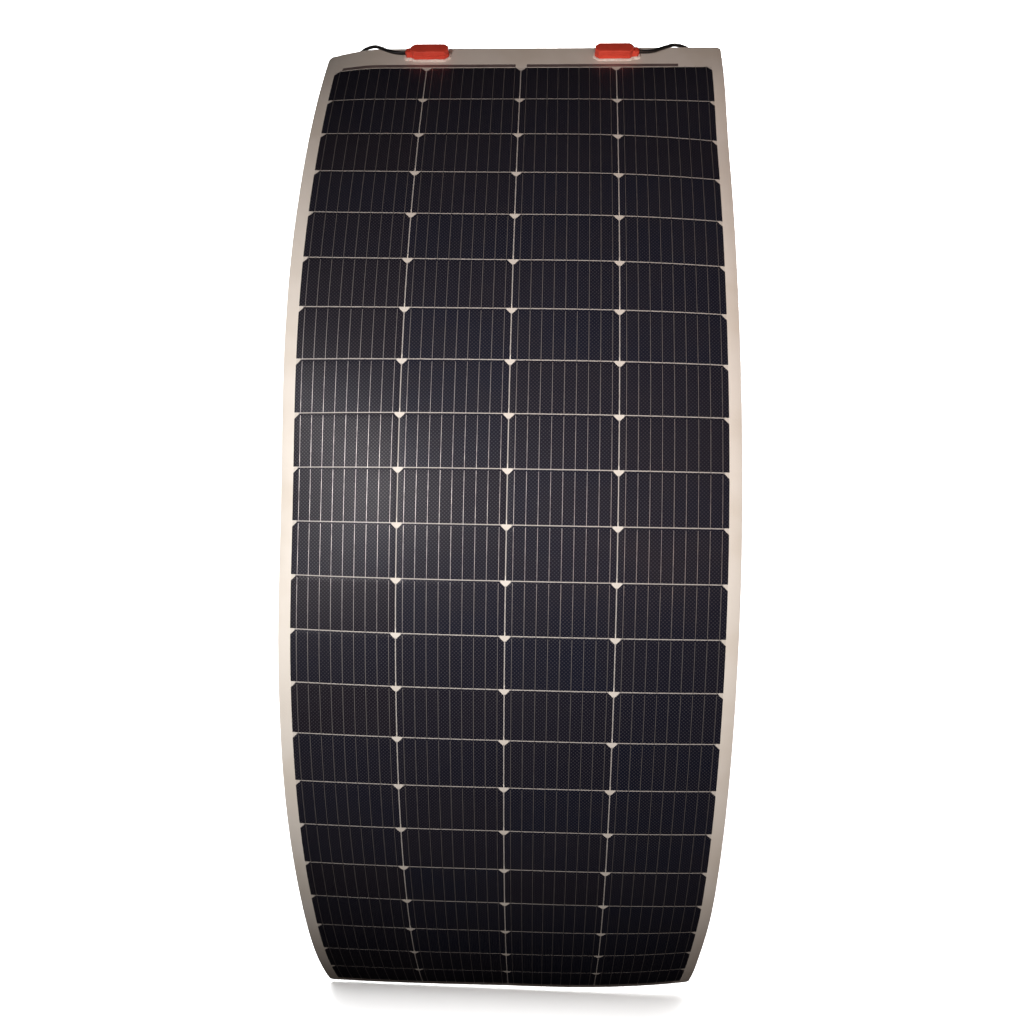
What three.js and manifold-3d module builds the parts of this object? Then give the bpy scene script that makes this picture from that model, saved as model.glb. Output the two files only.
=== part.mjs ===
// A flexible solar sheet, bowed front outwards about a level axis, with two junction boxes on its
// top strip and a lead with a connector on each. Millimetres, +Z up, front towards -Y, back towards
// +Y, +X to the right seen from the front. The origin is on the back face, at the middle of the row
// that the sheet is held by.
//
// The sheet is cut at the gaps between its cell rows, where it bends. Each row is an arch of its own
// curvature, so that together they make one smooth bow.

import * as THREE from 'three';
import { mergeVertices } from 'three/addons/utils/BufferGeometryUtils.js';
import Module from 'manifold-3d';

const wasm = await Module();
wasm.setup();

// ---- driving dimensions ----------------------------------------------------------------------

// cells: half-cut wafers, four across, their top corners clipped
const CELL_WIDTH = 166;
const CELL_HEIGHT = 83;
const CELL_GAP = 2;
const CELL_CLIP = 8.5;
const COLUMNS = 4;
const ROWS = 22;
const ROW_PITCH = CELL_HEIGHT + CELL_GAP;
const COLUMN_PITCH = CELL_WIDTH + CELL_GAP;

// sheet outline
const SHEET_WIDTH = 710;
const TOP_STRIP = 57;
const BOTTOM_STRIP = 19;
const CORNER_RADIUS = 10;

// plies, measured from the back face towards the front
const THICKNESS = 2.5;
const BACK_PLY = 1.6;
const PLY_GAP = 0.1;
const FILM_TOP = 2.35;
const CELL_BASE = 2.2;

// bow: curvature per mm at the sheet's middle, and how much it grows per mm further down
const BOW = 0.7498e-3;
const BOW_GROWTH = 0.2808e-6;
const HELD_ROW = 12;
const HINGE_GAP = 0.8;
const FACETS = 3;

// clear gap between pieces that touch on the real object
const CLEAR = 0.3;

// how far a cutting solid runs past the face that it cuts through
const PAST = 1;

// bus strips along the top of the first row, each with a tab up to its junction box
const BUS_WIDTH = 8;
const BUS_THICKNESS = 0.35;
const BUS_ABOVE_ROW = 1.4;
const BUS_INNER_X = 10;
const BUS_OUTER_X = { left: 322, right: 277 };
const BUS_TAB_WIDTH = 8;
const BUS_LUG_HEIGHT = 6;
const BUS_LUG_THICKNESS = 0.6;

// junction boxes, each with a block-shaped neck that its cable comes out of
const BOX_X = 165;
const BOX_FROM_TOP = 23;
const BOX_LENGTH = 69;
const BOX_DEPTH = 25;
const BOX_CORNER = 7.5;
const BOX_BASE_HEIGHT = 7.5;
const BOX_HEIGHT = 16;
const BOX_WALL = 2;
const BOX_FLOOR = 1.5;
const LID_BEVEL = 1.5;
const LID_ROOF = 1.8;
const NECK_LENGTH = 8.5;
const NECK_WIDTH = 15;
const NECK_HEIGHT = 11.5;
const NECK_CORNER = 2.5;
const SLOT_BELOW = 2;
const SLOT_ABOVE = 1;
const SLOT_SIDE = 1;
const BEAD_WIDTH = 3;
const BEAD_HEIGHT = 2.2;
const DIODE_RADIUS = 2.6;
const DIODE_LENGTH = 9;
const DIODE_OFFSET = 14;

// leads
const CABLE_RADIUS = 3;
const CABLE_SIDES = 8;
const ROUND_SIDES = 12;
const CORNER_STEPS = 6;

// connector profiles, from the cable's end down: distance along it, then radius
const NUT_LENGTH = 20;
const PLUG_PROFILE = [
  [0, 4.6],
  [3, 8.2],
  [NUT_LENGTH - 2, 9.4],
  [NUT_LENGTH, 9.4],
  [NUT_LENGTH, 7.9],
  [41, 7.9],
  [42, 6.4],
  [59, 6],
];
const SOCKET_PROFILE = [
  [0, 4.6],
  [3, 8.2],
  [NUT_LENGTH - 2, 9.4],
  [NUT_LENGTH, 9.4],
  [NUT_LENGTH, 7.9],
  [38, 7.9],
  [38, 9.2],
  [52, 9.2],
];

// ---- solids ------------------------------------------------------------------------------------

function toSolid(geometry) {
  const bare = geometry.clone();
  bare.deleteAttribute('normal');
  bare.deleteAttribute('uv');
  const merged = mergeVertices(bare, 1e-4);
  return new wasm.Manifold(new wasm.Mesh({
    numProp: 3,
    vertProperties: new Float32Array(merged.attributes.position.array),
    triVerts: new Uint32Array(merged.index.array),
  }));
}

function toGeometry(solid) {
  const mesh = solid.getMesh();
  const geometry = new THREE.BufferGeometry();
  geometry.setAttribute('position', new THREE.BufferAttribute(new Float32Array(mesh.vertProperties), 3));
  geometry.setIndex(new THREE.BufferAttribute(new Uint32Array(mesh.triVerts), 1));
  geometry.computeVertexNormals();
  return geometry;
}

// A shape drawn in the (y, z) plane, extruded from x0 to x1.
function extrudeAlongX(shape, x0, x1) {
  const geometry = new THREE.ExtrudeGeometry(shape, { depth: x1 - x0, bevelEnabled: false });
  const axes = new THREE.Matrix4().makeBasis(
    new THREE.Vector3(0, 1, 0),
    new THREE.Vector3(0, 0, 1),
    new THREE.Vector3(1, 0, 0),
  );
  geometry.applyMatrix4(axes);
  geometry.translate(x0, 0, 0);
  return geometry;
}

// A shape drawn in the (x, z) plane, standing on the sheet from height n0 to n1 above the back face.
function extrudeOffSheet(shape, n0, n1) {
  const geometry = new THREE.ExtrudeGeometry(shape, { depth: n1 - n0, bevelEnabled: false });
  geometry.rotateX(Math.PI / 2);
  geometry.translate(0, -n0, 0);
  return geometry;
}

function shapeOf(points) {
  return new THREE.Shape(points.map(([a, b]) => new THREE.Vector2(a, b)));
}

function rectangle(x0, x1, z0, z1) {
  return shapeOf([[x0, z0], [x1, z0], [x1, z1], [x0, z1]]);
}

// ---- the bow -------------------------------------------------------------------------------------

// Every row's arch: its neutral radius, its turn, and the place and tilt of the middle of its back.
function archOf(row) {
  const below = (row - ROWS / 2 - 0.5) * ROW_PITCH;
  const radius = 1 / (BOW + BOW_GROWTH * below);
  return { row, radius, turn: ROW_PITCH / radius, tilt: 0, y: 0, z: 0 };
}

// A point of an arch in its own frame: angle up from its middle, height above its back face.
function onArch(arch, angle, n) {
  const backRadius = arch.radius - THICKNESS / 2;
  return [backRadius - (backRadius + n) * Math.cos(angle), (backRadius + n) * Math.sin(angle)];
}

function turned([y, z], angle) {
  return [y * Math.cos(angle) - z * Math.sin(angle), y * Math.sin(angle) + z * Math.cos(angle)];
}

// Hangs an arch on its neighbour: side is 1 below the neighbour and -1 above it.
function hangOn(arch, neighbour, side) {
  arch.tilt = neighbour.tilt + side * (arch.turn + neighbour.turn) / 2;
  const end = turned(onArch(neighbour, -side * neighbour.turn / 2, THICKNESS / 2), neighbour.tilt);
  const start = turned(onArch(arch, side * arch.turn / 2, THICKNESS / 2), arch.tilt);
  arch.y = neighbour.y + end[0] - start[0];
  arch.z = neighbour.z + end[1] - start[1];
}

const arches = [];
for (let row = 1; row <= ROWS; row += 1) arches.push(archOf(row));
for (let row = HELD_ROW + 1; row <= ROWS; row += 1) hangOn(arches[row - 1], arches[row - 2], 1);
for (let row = HELD_ROW - 1; row >= 1; row -= 1) hangOn(arches[row - 1], arches[row], -1);

// A group standing in an arch's own frame.
function archGroup(arch) {
  const group = new THREE.Group();
  group.position.set(0, arch.y, arch.z);
  group.rotation.x = arch.tilt;
  return group;
}

// ---- materials ---------------------------------------------------------------------------------

function material(color, roughness, metalness) {
  return new THREE.MeshStandardMaterial({ color, roughness, metalness });
}

const backSheetMaterial = material(0xe9e6e0, 0.6, 0);
const cellMaterial = material(0x14161f, 0.3, 0.1);
const busMaterial = material(0x6b6067, 0.45, 0.6);
const redMaterial = material(0xc23a2b, 0.45, 0);
const sealantMaterial = material(0xe4d9d0, 0.5, 0);
const diodeMaterial = material(0x1b1b1d, 0.4, 0);
const cableMaterial = material(0x0d0d0e, 0.5, 0);
const connectorMaterial = material(0x151517, 0.45, 0);

function add(group, name, geometry, meshMaterial) {
  const mesh = new THREE.Mesh(geometry, meshMaterial);
  mesh.name = name;
  group.add(mesh);
  return mesh;
}

// ---- the sheet's rows ------------------------------------------------------------------------------

function stripBeyond(row) {
  return { above: row === 1 ? TOP_STRIP : 0, below: row === ROWS ? BOTTOM_STRIP : 0 };
}

// The side view of a row between two heights: an arch in FACETS flats, straight on into an end strip.
function rowProfile(arch, n0, n1) {
  const strip = stripBeyond(arch.row);
  const cut = (HINGE_GAP / 2) / arch.radius;
  const low = -arch.turn / 2 + (strip.below ? 0 : cut);
  const high = arch.turn / 2 - (strip.above ? 0 : cut);
  const edge = (n) => {
    const points = [];
    for (let i = 0; i <= FACETS; i += 1) points.push(onArch(arch, low + (high - low) * i / FACETS, n));
    if (strip.above) {
      const [dy, dz] = turned([0, strip.above], -arch.turn / 2);
      points.push([points.at(-1)[0] + dy, points.at(-1)[1] + dz]);
    }
    if (strip.below) {
      const [dy, dz] = turned([0, -strip.below], arch.turn / 2);
      points.unshift([points[0][0] + dy, points[0][1] + dz]);
    }
    return points;
  };
  return shapeOf([...edge(n0), ...edge(n1).reverse()]);
}

// The frame of an end strip, inside its row's frame: z runs out along the strip from the row's end.
function stripFrame(arch, side) {
  const [y, z] = onArch(arch, side * arch.turn / 2, 0);
  const frame = new THREE.Matrix4().makeRotationX(-side * arch.turn / 2);
  frame.setPosition(0, y, z);
  return frame;
}

// What is cut away to round one outer corner of the sheet.
function cornerCutter(acrossSide, alongSide, stripLength) {
  const x = acrossSide * (SHEET_WIDTH / 2 - CORNER_RADIUS);
  const z = alongSide * (stripLength - CORNER_RADIUS);
  const reach = CORNER_RADIUS + PAST;
  const points = [];
  for (let i = 0; i <= CORNER_STEPS; i += 1) {
    const a = (Math.PI / 2) * i / CORNER_STEPS;
    const dx = acrossSide * CORNER_RADIUS * Math.sin(a);
    const dz = alongSide * CORNER_RADIUS * Math.cos(a);
    points.push([x + dx, z + dz]);
  }
  points.push([x + acrossSide * reach, z]);
  points.push([x + acrossSide * reach, z + alongSide * reach]);
  points.push([x, z + alongSide * reach]);
  return toSolid(extrudeOffSheet(shapeOf(points), -PAST, THICKNESS + PAST));
}

function roundCorners(solid, arch) {
  const strip = stripBeyond(arch.row);
  let rounded = solid;
  for (const along of [1, -1]) {
    const length = along > 0 ? strip.above : strip.below;
    if (!length) continue;
    const frame = stripFrame(arch, along).toArray();
    for (const across of [1, -1]) {
      rounded = rounded.subtract(cornerCutter(across, along, length).transform(frame));
    }
  }
  return rounded;
}

function rowPlate(arch, n0, n1) {
  const profile = rowProfile(arch, n0, n1);
  return roundCorners(toSolid(extrudeAlongX(profile, -SHEET_WIDTH / 2, SHEET_WIDTH / 2)), arch);
}

function cellOutline(column) {
  const x0 = (column - COLUMNS / 2) * COLUMN_PITCH + CELL_GAP / 2;
  const x1 = x0 + CELL_WIDTH;
  const z0 = -CELL_HEIGHT / 2;
  const z1 = CELL_HEIGHT / 2;
  return shapeOf([
    [x0, z0],
    [x1, z0],
    [x1, z1 - CELL_CLIP],
    [x1 - CELL_CLIP, z1],
    [x0 + CELL_CLIP, z1],
    [x0, z1 - CELL_CLIP],
  ]);
}

// The row's front ply: film and encapsulant, with its half-cells standing slightly proud.
function cellRow(arch) {
  let ply = rowPlate(arch, BACK_PLY + PLY_GAP, FILM_TOP);
  const reliefProfile = rowProfile({ ...arch, row: 0 }, CELL_BASE, THICKNESS);
  const relief = toSolid(extrudeAlongX(reliefProfile, -SHEET_WIDTH / 2, SHEET_WIDTH / 2));
  for (let column = 0; column < COLUMNS; column += 1) {
    const prism = toSolid(extrudeOffSheet(cellOutline(column), -PAST, THICKNESS + PAST));
    ply = ply.add(prism.intersect(relief));
  }
  return ply;
}

// ---- bus strips -------------------------------------------------------------------------------------

// Outline of a bus strip with its tab, grown on every side by a margin.
function busOutline(side, sign, margin) {
  const inner = BUS_INNER_X - margin;
  const outer = BUS_OUTER_X[side] + margin;
  const low = BUS_ABOVE_ROW - margin;
  const high = BUS_ABOVE_ROW + BUS_WIDTH + margin;
  const tabTop = TOP_STRIP - BOX_FROM_TOP + margin;
  const tabHalf = BUS_TAB_WIDTH / 2 + margin;
  const points = [
    [inner, low],
    [outer, low],
    [outer, high],
    [BOX_X + tabHalf, high],
    [BOX_X + tabHalf, tabTop],
    [BOX_X - tabHalf, tabTop],
    [BOX_X - tabHalf, high],
    [inner, high],
  ];
  return shapeOf(points.map(([x, z]) => [sign * x, z]));
}

const BUS_FOOT = BACK_PLY + PLY_GAP + CLEAR / 2;

function busWindow(side, sign) {
  return toSolid(extrudeOffSheet(busOutline(side, sign, CLEAR), BACK_PLY, THICKNESS + PAST));
}

function busStrip(side, sign) {
  const strip = extrudeOffSheet(busOutline(side, sign, 0), BUS_FOOT, BUS_FOOT + BUS_THICKNESS);
  const top = TOP_STRIP - BOX_FROM_TOP;
  const half = BUS_TAB_WIDTH / 2;
  const lugOutline = rectangle(sign * BOX_X - half, sign * BOX_X + half, top - BUS_LUG_THICKNESS, top);
  const lug = extrudeOffSheet(lugOutline, BUS_FOOT, BUS_FOOT + BUS_LUG_HEIGHT);
  return toSolid(strip).add(toSolid(lug));
}

// ---- junction boxes, drawn about the box's own middle, neck towards sign * x ----------------------

const BOX_SEAT = FILM_TOP + CLEAR;

function boxOutline(margin) {
  const l = BOX_LENGTH / 2 + margin;
  const d = BOX_DEPTH / 2 + margin;
  const c = BOX_CORNER + margin * (2 - Math.SQRT2);
  return [
    [-l, -d + c],
    [-l + c, -d],
    [l - c, -d],
    [l, -d + c],
    [l, d - c],
    [l - c, d],
    [-l + c, d],
    [-l, d - c],
  ];
}

// Outline of the neck's block, its root inside the box wall.
function neckOutline(sign, margin) {
  const root = (BOX_LENGTH - BOX_CORNER) / 2;
  const tip = BOX_LENGTH / 2 + NECK_LENGTH + margin;
  const half = NECK_WIDTH / 2 + margin;
  const points = [
    [root, -half],
    [tip - NECK_CORNER, -half],
    [tip, -half + NECK_CORNER],
    [tip, half - NECK_CORNER],
    [tip - NECK_CORNER, half],
    [root, half],
  ];
  return points.map(([x, z]) => [sign * x, z]);
}

// What a box and its neck cover on the sheet, grown on every side by a margin.
function footprint(sign, margin, n0, n1) {
  const box = toSolid(extrudeOffSheet(shapeOf(boxOutline(margin)), n0, n1));
  return box.add(toSolid(extrudeOffSheet(shapeOf(neckOutline(sign, margin)), n0, n1)));
}

function boxBase(sign) {
  const floor = BOX_SEAT + BOX_FLOOR;
  const rim = BOX_SEAT + BOX_BASE_HEIGHT;
  const neckTop = BOX_SEAT + NECK_HEIGHT;
  const shell = toSolid(extrudeOffSheet(shapeOf(boxOutline(0)), BOX_SEAT, rim));
  const pocket = toSolid(extrudeOffSheet(shapeOf(boxOutline(-BOX_WALL)), floor, rim + PAST));
  const slotHalf = BUS_TAB_WIDTH / 2 + SLOT_SIDE;
  const slotOutline = rectangle(-slotHalf, slotHalf, -SLOT_BELOW, SLOT_ABOVE);
  const slot = toSolid(extrudeOffSheet(slotOutline, BOX_SEAT - PAST, floor + PAST));
  const lidRoom = toSolid(extrudeOffSheet(shapeOf(boxOutline(CLEAR)), rim, neckTop + PAST));
  const neck = toSolid(extrudeOffSheet(shapeOf(neckOutline(sign, 0)), BOX_SEAT, neckTop));
  return shell.add(neck.subtract(lidRoom)).subtract(pocket).subtract(slot);
}

// The lid: a cap of the box's outline with a bevelled top edge, hollow underneath.
function boxLid() {
  const bottom = BOX_SEAT + BOX_BASE_HEIGHT + CLEAR;
  const top = BOX_SEAT + BOX_HEIGHT;
  const body = new THREE.ExtrudeGeometry(shapeOf(boxOutline(-LID_BEVEL)), {
    depth: top - bottom - LID_BEVEL,
    bevelEnabled: true,
    bevelThickness: LID_BEVEL,
    bevelSize: LID_BEVEL,
    bevelSegments: 1,
  });
  body.rotateX(Math.PI / 2);
  body.translate(0, -bottom, 0);
  const lowerBevel = rectangle(-BOX_LENGTH, BOX_LENGTH, -BOX_DEPTH, BOX_DEPTH);
  const below = toSolid(extrudeOffSheet(lowerBevel, bottom - LID_BEVEL - PAST, bottom));
  const inside = shapeOf(boxOutline(-BOX_WALL));
  const recess = toSolid(extrudeOffSheet(inside, bottom - PAST, top - LID_ROOF));
  return toSolid(body).subtract(below).subtract(recess);
}

// Silicone round the foot of a box, thick at the sheet and thin at the top.
function sealantBead(sign) {
  const n0 = BOX_SEAT;
  const foot = footprint(sign, BEAD_WIDTH, n0, n0 + BEAD_HEIGHT / 2);
  const step = footprint(sign, BEAD_WIDTH / 2, n0, n0 + BEAD_HEIGHT);
  const hole = footprint(sign, CLEAR, n0 - PAST, n0 + BEAD_HEIGHT + PAST);
  return foot.add(step).subtract(hole);
}

function diode() {
  const body = new THREE.CylinderGeometry(DIODE_RADIUS, DIODE_RADIUS, DIODE_LENGTH, ROUND_SIDES);
  body.rotateZ(Math.PI / 2);
  body.translate(DIODE_OFFSET, -(BOX_SEAT + BOX_FLOOR + CLEAR + DIODE_RADIUS), 0);
  return body;
}

// ---- leads -------------------------------------------------------------------------------------------

// Route of a lead's centreline on the right-hand side: straight out of the neck, along and over the
// top edge, and down behind the sheet to the pivot where it starts to hang free.
const LEAD_RISE = [
  [208.3, 321.7, 943.4],
  [220.5, 321.8, 943.6],
  [232, 323.5, 945.6],
  [243.5, 328, 950.8],
  [255.5, 334.1, 957.3],
  [267.5, 339.6, 962],
  [280, 343.9, 961.6],
  [291, 347.5, 958],
  [300.5, 350.5, 950.3],
  [306.5, 352.3, 939.1],
  [310.3, 353.2, 925.6],
  [312.3, 353.7, 910.6],
  [313, 353.8, 891.1],
];

// From the pivot down to the connector.
const LEAD_HANG = [
  [313, 353.8, 888.9],
  [313.5, 354, 860],
  [314.5, 354.5, 820],
  [316, 355.5, 770],
  [317.5, 356.5, 720],
  [318.5, 357.5, 660],
  [318.5, 358, 600],
  [317.5, 358, 540],
  [316, 357.5, 480],
  [314.5, 356.5, 420],
  [313, 355.5, 360],
  [312, 354.5, 300],
  [311.5, 354, 250],
  [311.5, 354, 200],
  [311.5, 354, 142],
];

// The same route on either side, drawn out along the edge by a factor of its own.
const LEAD_REACH = { left: 1, right: 1.09 };

function sideRoute(points, side, sign) {
  const mouth = LEAD_RISE[0][0];
  return points.map(([x, y, z]) => [sign * (mouth + (x - mouth) * LEAD_REACH[side]), y, z]);
}

function tube(points) {
  const section = new THREE.Shape();
  section.absarc(0, 0, CABLE_RADIUS, 0, 2 * Math.PI, false);
  const route = new THREE.CatmullRomCurve3(points.map((p) => new THREE.Vector3(...p)), false, 'centripetal');
  return new THREE.ExtrudeGeometry(section, {
    steps: Math.max(1, Math.round(route.getLength() / (CABLE_RADIUS * 5))),
    curveSegments: CABLE_SIDES / 2,
    extrudePath: route,
  });
}

function connector(profile, top) {
  const outline = [new THREE.Vector2(0, -profile.at(-1)[0])];
  for (const [along, radius] of [...profile].reverse()) outline.push(new THREE.Vector2(radius, -along));
  outline.push(new THREE.Vector2(0, 0));
  const body = new THREE.LatheGeometry(outline, ROUND_SIDES);
  body.rotateX(Math.PI / 2);
  body.translate(...top);
  return body;
}

// ---- assembly --------------------------------------------------------------------------------------------

// The middle flat of the held row's back lies in the plane y = 0.
const heldArch = arches[HELD_ROW - 1];
const flatHalfTurn = (heldArch.turn - HINGE_GAP / heldArch.radius) / 2 / FACETS;
const sheet = new THREE.Group();
sheet.position.y = -onArch(heldArch, flatHalfTurn, 0)[0];

for (const arch of arches) {
  const group = archGroup(arch);
  const number = String(arch.row).padStart(2, '0');
  add(group, `back_sheet_${number}`, toGeometry(rowPlate(arch, 0, BACK_PLY)), backSheetMaterial);
  let front = cellRow(arch);
  if (arch.row === 1) {
    const frame = stripFrame(arch, 1);
    front = front.subtract(busWindow('left', -1).transform(frame.toArray()));
    front = front.subtract(busWindow('right', 1).transform(frame.toArray()));
    const strip = new THREE.Group();
    strip.applyMatrix4(frame);
    for (const [side, sign] of [['left', -1], ['right', 1]]) {
      add(strip, `bus_strip_${side}`, toGeometry(busStrip(side, sign)), busMaterial);
      const box = new THREE.Group();
      box.position.set(sign * BOX_X, 0, TOP_STRIP - BOX_FROM_TOP);
      add(box, `junction_box_base_${side}`, toGeometry(boxBase(sign)), redMaterial);
      add(box, `junction_box_lid_${side}`, toGeometry(boxLid()), redMaterial);
      add(box, `sealant_bead_${side}`, toGeometry(sealantBead(sign)), sealantMaterial);
      add(box, `bypass_diode_${side}`, diode(), diodeMaterial);
      strip.add(box);
    }
    group.add(strip);
  }
  add(group, `cell_row_${number}`, toGeometry(front), cellMaterial);
  sheet.add(group);
}

for (const [side, sign] of [['left', -1], ['right', 1]]) {
  const hang = sideRoute(LEAD_HANG, side, sign);
  const [x, y, z] = hang.at(-1);
  const profile = side === 'left' ? PLUG_PROFILE : SOCKET_PROFILE;
  add(sheet, `cable_rise_${side}`, tube(sideRoute(LEAD_RISE, side, sign)), cableMaterial);
  add(sheet, `cable_hang_${side}`, tube(hang), cableMaterial);
  add(sheet, `connector_${side}`, connector(profile, [x, y, z - CLEAR]), connectorMaterial);
}

export default sheet;
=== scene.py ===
# The finished look of a flexible solar sheet: four columns of half-cut cells with their ribbons in a
# white laminate, bowed front outwards, with two red junction boxes and a black lead on each.
# Metres, +Z up, front towards -Y. A place on the sheet is given as x across it, s down it from the
# top of the first cell row, and n out of its back face.

import math

import bmesh
import bpy
from mathutils import Euler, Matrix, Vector, noise


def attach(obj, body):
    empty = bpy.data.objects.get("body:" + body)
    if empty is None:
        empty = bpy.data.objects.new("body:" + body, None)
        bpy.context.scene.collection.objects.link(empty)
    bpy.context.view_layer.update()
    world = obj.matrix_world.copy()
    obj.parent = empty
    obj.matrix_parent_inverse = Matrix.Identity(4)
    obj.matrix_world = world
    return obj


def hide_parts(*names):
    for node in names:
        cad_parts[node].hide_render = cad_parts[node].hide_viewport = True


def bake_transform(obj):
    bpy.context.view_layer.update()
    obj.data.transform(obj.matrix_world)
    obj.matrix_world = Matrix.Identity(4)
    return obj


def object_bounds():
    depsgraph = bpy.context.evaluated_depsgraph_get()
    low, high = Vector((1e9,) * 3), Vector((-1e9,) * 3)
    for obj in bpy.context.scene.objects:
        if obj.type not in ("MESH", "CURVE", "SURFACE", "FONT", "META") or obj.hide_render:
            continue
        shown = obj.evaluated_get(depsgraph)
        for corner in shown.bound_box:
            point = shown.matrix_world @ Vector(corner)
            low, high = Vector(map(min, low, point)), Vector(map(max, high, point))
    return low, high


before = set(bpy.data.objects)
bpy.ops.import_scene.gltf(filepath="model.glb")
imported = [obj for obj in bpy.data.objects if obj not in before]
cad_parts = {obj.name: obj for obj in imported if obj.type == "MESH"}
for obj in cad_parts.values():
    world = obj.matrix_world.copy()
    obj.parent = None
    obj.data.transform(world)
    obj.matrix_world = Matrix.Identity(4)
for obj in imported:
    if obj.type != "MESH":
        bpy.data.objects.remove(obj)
cad_low, cad_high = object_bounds()

MM = 0.001

# ---- driving dimensions ----------------------------------------------

# cells
CELL_WIDTH = 166.4 * MM
CELL_HEIGHT = 83.4 * MM
CELL_GAP = 1.6 * MM
CELL_CLIP = 8.5 * MM
COLUMNS = 4
ROWS = 22
ROW_PITCH = CELL_HEIGHT + CELL_GAP
COLUMN_PITCH = CELL_WIDTH + CELL_GAP
FIELD_HALF = COLUMNS / 2 * COLUMN_PITCH - CELL_GAP / 2

# sheet
SHEET_WIDTH = 710 * MM
TOP_STRIP = 57 * MM
BOTTOM_STRIP = 19 * MM
CORNER_RADIUS = 10 * MM
THICKNESS = 2.5 * MM
FILM_TOP = 2.35 * MM
EDGE_ROUND = 0.6 * MM
EDGE_STEPS = 3
CORNER_STEPS = 8

# bow: curvature at the sheet's middle and its growth further down, as in the frame
BOW = 0.7498
BOW_GROWTH = 0.2808
HELD_ROW = 12
HINGE_GAP = 0.8 * MM
FACETS = 3

# a distance to each side of a joint, at which each laminate span takes two points that nothing uses
BEND_REACH = 4 * MM

# the long edges curl back a little, the left one most at mid-height, and so does the left top corner;
# inside its edge the left half stands forward a little, high up and again low down
EDGE_POWER = 2.5
RIGHT_CURL = 20 * MM
RIGHT_CURL_FADE = 200 * MM
RIGHT_EASE = 11 * MM
RIGHT_EASE_FROM = 400 * MM
RIGHT_EASE_FADE = 600 * MM
LIFT_POWER = 1.2
HIGH_LIFT = 6 * MM
HIGH_LIFT_S = 400 * MM
HIGH_LIFT_SPAN = 200 * MM
LOW_LIFT = 5 * MM
LOW_LIFT_FROM = 1100 * MM
LOW_LIFT_FADE = 250 * MM
FOOT_LIFT = 4 * MM
FOOT_FROM = 1500 * MM
FOOT_FADE = 250 * MM
LEFT_CURL = 7 * MM
LEFT_CURL_FROM = 600 * MM
LEFT_CURL_FADE = 400 * MM
LEFT_BULGE = 26 * MM
LEFT_BULGE_S = 810 * MM
LEFT_BULGE_SPAN = 220 * MM
CORNER_CURL = 17 * MM
CORNER_FROM_X = 250 * MM
CORNER_REACH = 300 * MM
CORNER_POWER_ACROSS = 1.7
CORNER_POWER_DOWN = 1.9

# what shows through the front film: its heights, and the ribbons' widths and places
CELL_FOOT = 2.2 * MM
CELL_TOP = 2.43 * MM
CELL_SHOULDER = 0.3 * MM
SHOULDER_SLOPE = 0.2
RIBBON_FOOT = 2.33 * MM
RIBBON_TOP = 2.5 * MM
RIBBON_SHOULDER = 0.2 * MM
RIBBON_WIDTH = 0.85 * MM
RIBBONS = 9
RIBBON_PITCH = 18.3 * MM
RIBBON_START = 3.5 * MM
RIBBON_PAST_ROW = 1 * MM

# bus strips
BUS_TOP = 2.42 * MM
BUS_WIDTH = 8 * MM
BUS_FROM_ROW = 1.4 * MM
BUS_INNER_X = 10 * MM
BUS_OUTER_X = {"left": 322 * MM, "right": 277 * MM}
BUS_TAB_WIDTH = 8 * MM
BUS_TAB_FOOT = 1.85 * MM
BUS_TAB_TOP = 2.2 * MM
BUS_TAB_GAP = 0.5 * MM
BUS_LUG_THICKNESS = 0.6 * MM
BUS_LUG_HEIGHT = 6 * MM
BOTTOM_BUS_INSET = 14 * MM

# junction boxes, each with a block-shaped neck that its cable comes out of
BOX_X = 165 * MM
BOX_FROM_TOP = 23 * MM
BOX_S = BOX_FROM_TOP - TOP_STRIP
BOX_LENGTH = 69 * MM
BOX_DEPTH = 25 * MM
BOX_CORNER = 7.5 * MM
BOX_ARRIS = 1.4 * MM
ARRIS_GROWTH = 0.3
LEAST_ARRIS = 0.5 * MM
BOX_SEAT = 2.65 * MM
NECK_LENGTH = 8.5 * MM
NECK_WIDTH = 15 * MM
NECK_CORNER = 2.5 * MM
NECK_ARRIS = 0.8 * MM
NECK_AXIS_HEIGHT = 6.3 * MM

# leads
CABLE_DIAMETER = 6 * MM
CABLE_SIDES = 16
CABLE_STEP = 5 * MM
LEAD_REACH = {"left": 1.0, "right": 1.09}
CONNECTOR_GAP = 0.3 * MM

SIDES = {"left": -1, "right": 1}

# ---- camera ----------------------------------------------------------

camera_data = bpy.data.cameras.new("camera")
camera_data.sensor_width = 36
camera_data.lens = 30.987
camera_data.shift_x = 0.00146
camera = bpy.data.objects.new("camera", camera_data)
camera.location = (0.0660, -1.3194, 0.2662)
camera.rotation_euler = Euler([math.radians(a) for a in (84.862, -0.802, 2.669)])
bpy.context.collection.objects.link(camera)
bpy.context.scene.camera = camera

# ---- places on the bowed sheet ---------------------------------------


def arch_of(row):
    """A row's arch: its neutral radius, its turn, and the tilt and place of the middle of its back."""
    below = (row - ROWS / 2 - 0.5) * ROW_PITCH
    radius = 1 / (BOW + BOW_GROWTH * below)
    return {"radius": radius, "turn": ROW_PITCH / radius, "tilt": 0.0, "y": 0.0, "z": 0.0}


def quarter(steps):
    """The angles that divide a quarter turn into steps."""
    return [math.pi / 2 * i / steps for i in range(steps + 1)]


def turned(y, z, angle):
    """A point turned about the X axis."""
    cos, sin = math.cos(angle), math.sin(angle)
    return y * cos - z * sin, y * sin + z * cos


def on_arch(arch, angle, n):
    """A point in an arch's own frame: angle up from its middle, height above its back."""
    back = arch["radius"] - THICKNESS / 2
    return back - (back + n) * math.cos(angle), (back + n) * math.sin(angle)


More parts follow.
